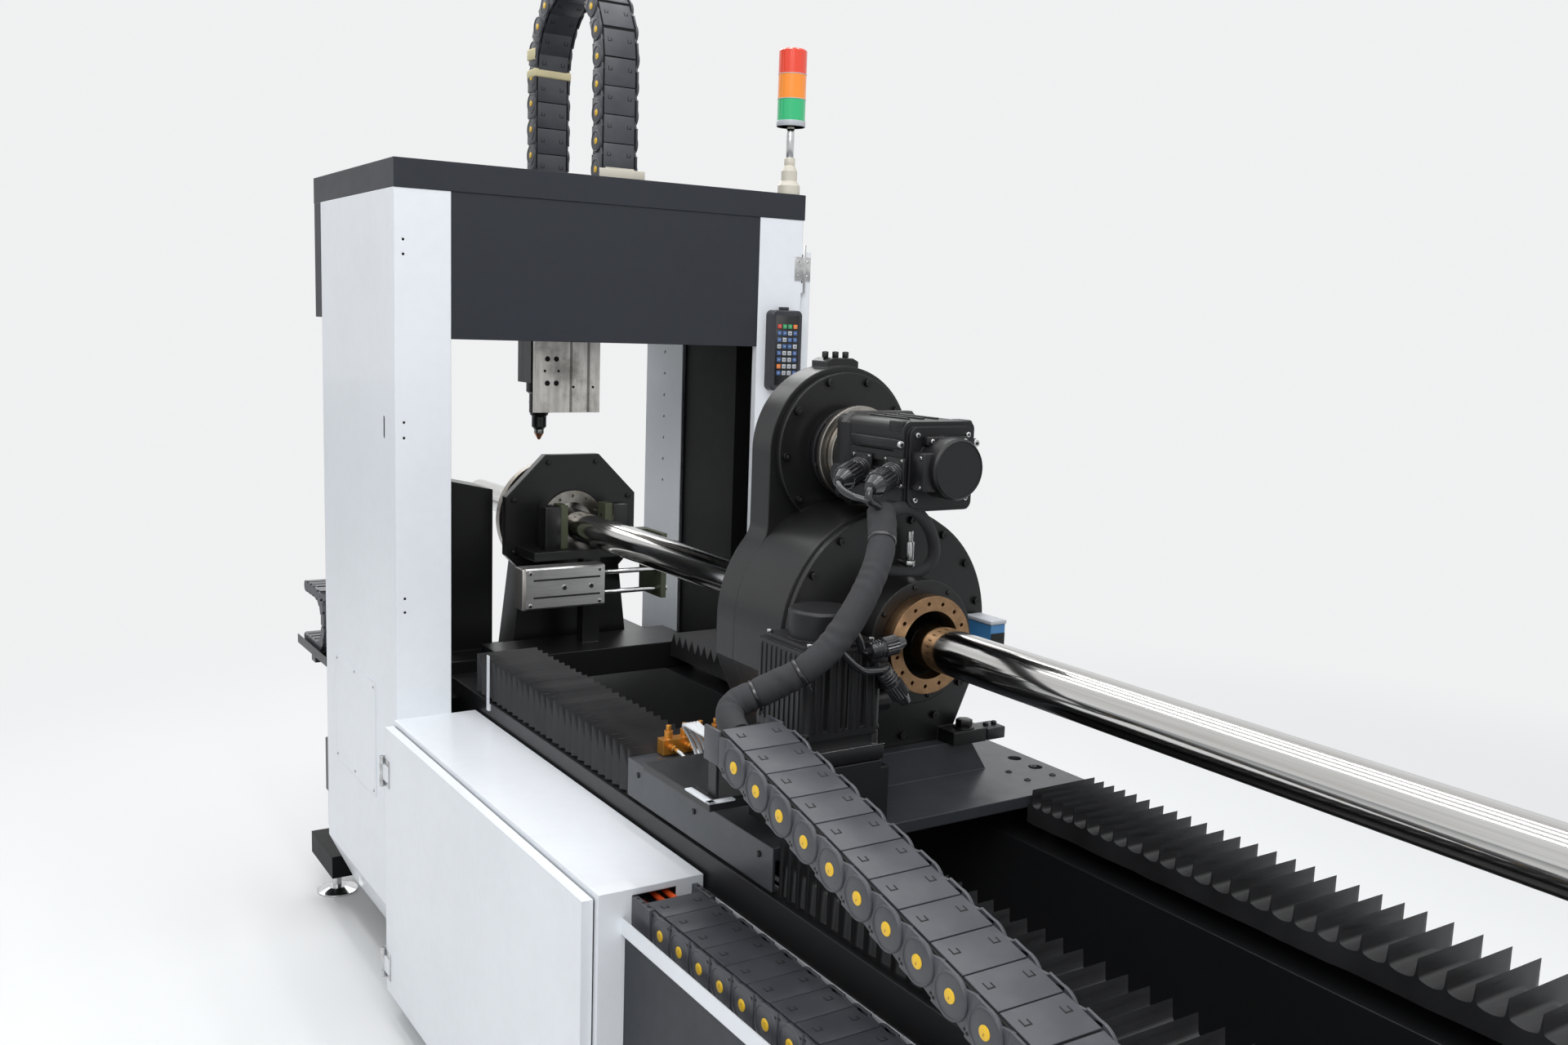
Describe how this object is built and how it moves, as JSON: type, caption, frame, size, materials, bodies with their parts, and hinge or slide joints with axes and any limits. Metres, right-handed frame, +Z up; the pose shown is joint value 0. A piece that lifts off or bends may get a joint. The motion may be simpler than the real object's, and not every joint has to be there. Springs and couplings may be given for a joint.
{
  "type": "tube laser cutting machine",
  "caption": "Tube laser cutting machine with a portal, a fixed and a travelling rotary chuck, bellows-covered bed, energy chains and a cutting head",
  "frame": {"origin": "centre of the overall box at floor level", "axes": "Z up, Y along the bed from the loading end to the portal, X to the right seen from the loading end"},
  "size_m": [1.12, 3.94, 2.4291],
  "materials": {
    "black_frame": "satin black paint on welded steel",
    "rail_steel": "ground and oiled",
    "foot_chrome": "plated",
    "white_paint": "cool white satin powder coat",
    "charcoal_paint": "finely textured charcoal powder coat",
    "chain_plastic": "moulded dark grey",
    "cream_paint": "cream satin",
    "red_lens": "tinted lens",
    "amber_lens": "tinted lens",
    "green_lens": "tinted lens",
    "keypad_plastic": "moulded case",
    "black_housing": "cast and painted satin black",
    "cylinder_aluminium": "anodised",
    "pump_plastic": "moulded",
    "bellows_fabric": "coated pleated fabric",
    "block_steel": "ground",
    "black_bolts": "blackened",
    "motor_black": "satin black",
    "gold_anodised": "gold anodised",
    "sleeve_fabric": "woven sleeve",
    "sensor_plastic": "moulded",
    "gear_steel": "hobbed",
    "spindle_steel": "turned",
    "bronze": "turned bronze",
    "polished_tube": "polished stainless steel",
    "olive_plate": "olive drab paint",
    "stained_steel": "ground, stained",
    "head_black": "black anodised",
    "jaw_steel": "ground"
  },
  "bodies": {
    "machine": {"bed_frame": "black_frame", "guide_rails": "rail_steel", "levelling_feet": "foot_chrome", "portal_frame": "black_frame", "left_column_cover": "white_paint", "right_column_cover": "white_paint", "top_cap": "charcoal_paint", "front_panel": "charcoal_paint", "rear_cover": "charcoal_paint", "base_cabinet": "white_paint", "cable_tray": "white_paint", "tray_panel": "charcoal_paint", "top_chain": "chain_plastic", "cap_fittings": "cream_paint", "light_red": "red_lens", "light_amber": "amber_lens", "light_green": "green_lens", "handheld": "keypad_plastic", "front_chuck_housing": "black_housing", "chuck_bridge": "black_housing", "clamp_cylinder": "cylinder_aluminium", "lubricator": "pump_plastic", "rear_tray": "black_frame", "rear_chain": "chain_plastic", "bellows_front": "bellows_fabric", "bellows_rear": "bellows_fabric", "marker_strip": "white_paint", "carriage_chain": "chain_plastic"},
    "cabinet_door": {"cabinet_door": "white_paint"},
    "side_door": {"side_door": "white_paint"},
    "carriage": {"carriage_plate": "black_frame", "guide_blocks": "block_steel", "chuck_back": "black_housing", "chuck_drum": "black_housing", "chuck_bolts": "black_bolts", "spindle_nose": "black_housing", "spin_motor": "motor_black", "travel_motor": "motor_black", "motor_bracket": "black_frame", "valve_manifold": "gold_anodised", "cable_harness": "sleeve_fabric", "tube_sensor": "sensor_plastic"},
    "travel_pinion": {"travel_pinion": "gear_steel"},
    "rear_spindle": {"rear_spindle": "spindle_steel", "bronze_ring": "bronze", "workpiece_tube": "polished_tube"},
    "rear_jaw_1": {"rear_jaw_1": "jaw_steel"},
    "rear_jaw_2": {"rear_jaw_2": "jaw_steel"},
    "rear_jaw_3": {"rear_jaw_3": "jaw_steel"},
    "rear_jaw_4": {"rear_jaw_4": "jaw_steel"},
    "front_spindle": {"front_spindle": "spindle_steel"},
    "front_jaw_1": {"front_jaw_1": "jaw_steel"},
    "front_jaw_2": {"front_jaw_2": "jaw_steel"},
    "front_jaw_3": {"front_jaw_3": "jaw_steel"},
    "front_jaw_4": {"front_jaw_4": "jaw_steel"},
    "left_clamp": {"left_clamp": "olive_plate"},
    "right_clamp": {"right_clamp": "olive_plate"},
    "head": {"head_slide": "stained_steel", "cutting_head": "head_black"}
  },
  "joints": [
    {"name": "cabinet_door_hinge", "type": "hinge", "parent": "machine", "child": "cabinet_door", "pos_m": [-0.555, 1.046, 0.3575], "axis": [0, 0, -1], "range_deg": [0, 110]},
    {"name": "side_door_hinge", "type": "hinge", "parent": "machine", "child": "side_door", "pos_m": [0.524, 1.054, 1], "axis": [0, 0, -1], "range_deg": [0, 110]},
    {"name": "carriage_slide", "type": "slide", "parent": "machine", "child": "carriage", "axis": [0, 1, 0], "range_m": [-0.6, 0.55], "deforming": ["bellows_front", "bellows_rear", "carriage_chain"]},
    {"name": "pinion_turn", "type": "hinge", "parent": "carriage", "child": "travel_pinion", "pos_m": [-0.2, -0.137, 0.74], "axis": [0, 0, 1], "continuous": true},
    {"name": "rear_chuck_turn", "type": "hinge", "parent": "carriage", "child": "rear_spindle", "pos_m": [0, 0, 1.08], "axis": [0, 1, 0], "continuous": true},
    {"name": "front_chuck_turn", "type": "hinge", "parent": "machine", "child": "front_spindle", "pos_m": [0, 1.35, 1.08], "axis": [0, 1, 0], "continuous": true},
    {"name": "rear_jaw_1_slide", "type": "slide", "parent": "rear_spindle", "child": "rear_jaw_1", "axis": [0, 0, 1], "range_m": [0, 0.035]},
    {"name": "rear_jaw_2_slide", "type": "slide", "parent": "rear_spindle", "child": "rear_jaw_2", "axis": [1, 0, 0], "range_m": [0, 0.035]},
    {"name": "rear_jaw_3_slide", "type": "slide", "parent": "rear_spindle", "child": "rear_jaw_3", "axis": [0, 0, -1], "range_m": [0, 0.035]},
    {"name": "rear_jaw_4_slide", "type": "slide", "parent": "rear_spindle", "child": "rear_jaw_4", "axis": [-1, 0, 0], "range_m": [0, 0.035]},
    {"name": "front_jaw_1_slide", "type": "slide", "parent": "front_spindle", "child": "front_jaw_1", "axis": [0, 0, 1], "range_m": [0, 0.035]},
    {"name": "front_jaw_2_slide", "type": "slide", "parent": "front_spindle", "child": "front_jaw_2", "axis": [1, 0, 0], "range_m": [0, 0.035]},
    {"name": "front_jaw_3_slide", "type": "slide", "parent": "front_spindle", "child": "front_jaw_3", "axis": [0, 0, -1], "range_m": [0, 0.035]},
    {"name": "front_jaw_4_slide", "type": "slide", "parent": "front_spindle", "child": "front_jaw_4", "axis": [-1, 0, 0], "range_m": [0, 0.035]},
    {"name": "right_clamp_slide", "type": "slide", "parent": "machine", "child": "right_clamp", "axis": [1, 0, 0], "range_m": [-0.0115, 0.04]},
    {"name": "left_clamp_slide", "type": "slide", "parent": "machine", "child": "left_clamp", "axis": [-1, 0, 0], "range_m": [-0.0115, 0.04]},
    {"name": "head_lift", "type": "slide", "parent": "machine", "child": "head", "axis": [0, 0, 1], "range_m": [-0.15, 0.1], "deforming": ["top_chain"]}
  ],
  "couplings": [
    {"joint": "pinion_turn", "follows": "carriage_slide", "rad_per_m": 25},
    {"joint": "front_chuck_turn", "follows": "rear_chuck_turn", "ratio": 1},
    {"joint": "rear_jaw_3_slide", "follows": "rear_jaw_1_slide", "ratio": 1},
    {"joint": "rear_jaw_4_slide", "follows": "rear_jaw_2_slide", "ratio": 1},
    {"joint": "front_jaw_3_slide", "follows": "front_jaw_1_slide", "ratio": 1},
    {"joint": "front_jaw_4_slide", "follows": "front_jaw_2_slide", "ratio": 1},
    {"joint": "left_clamp_slide", "follows": "right_clamp_slide", "ratio": 1}
  ]
}
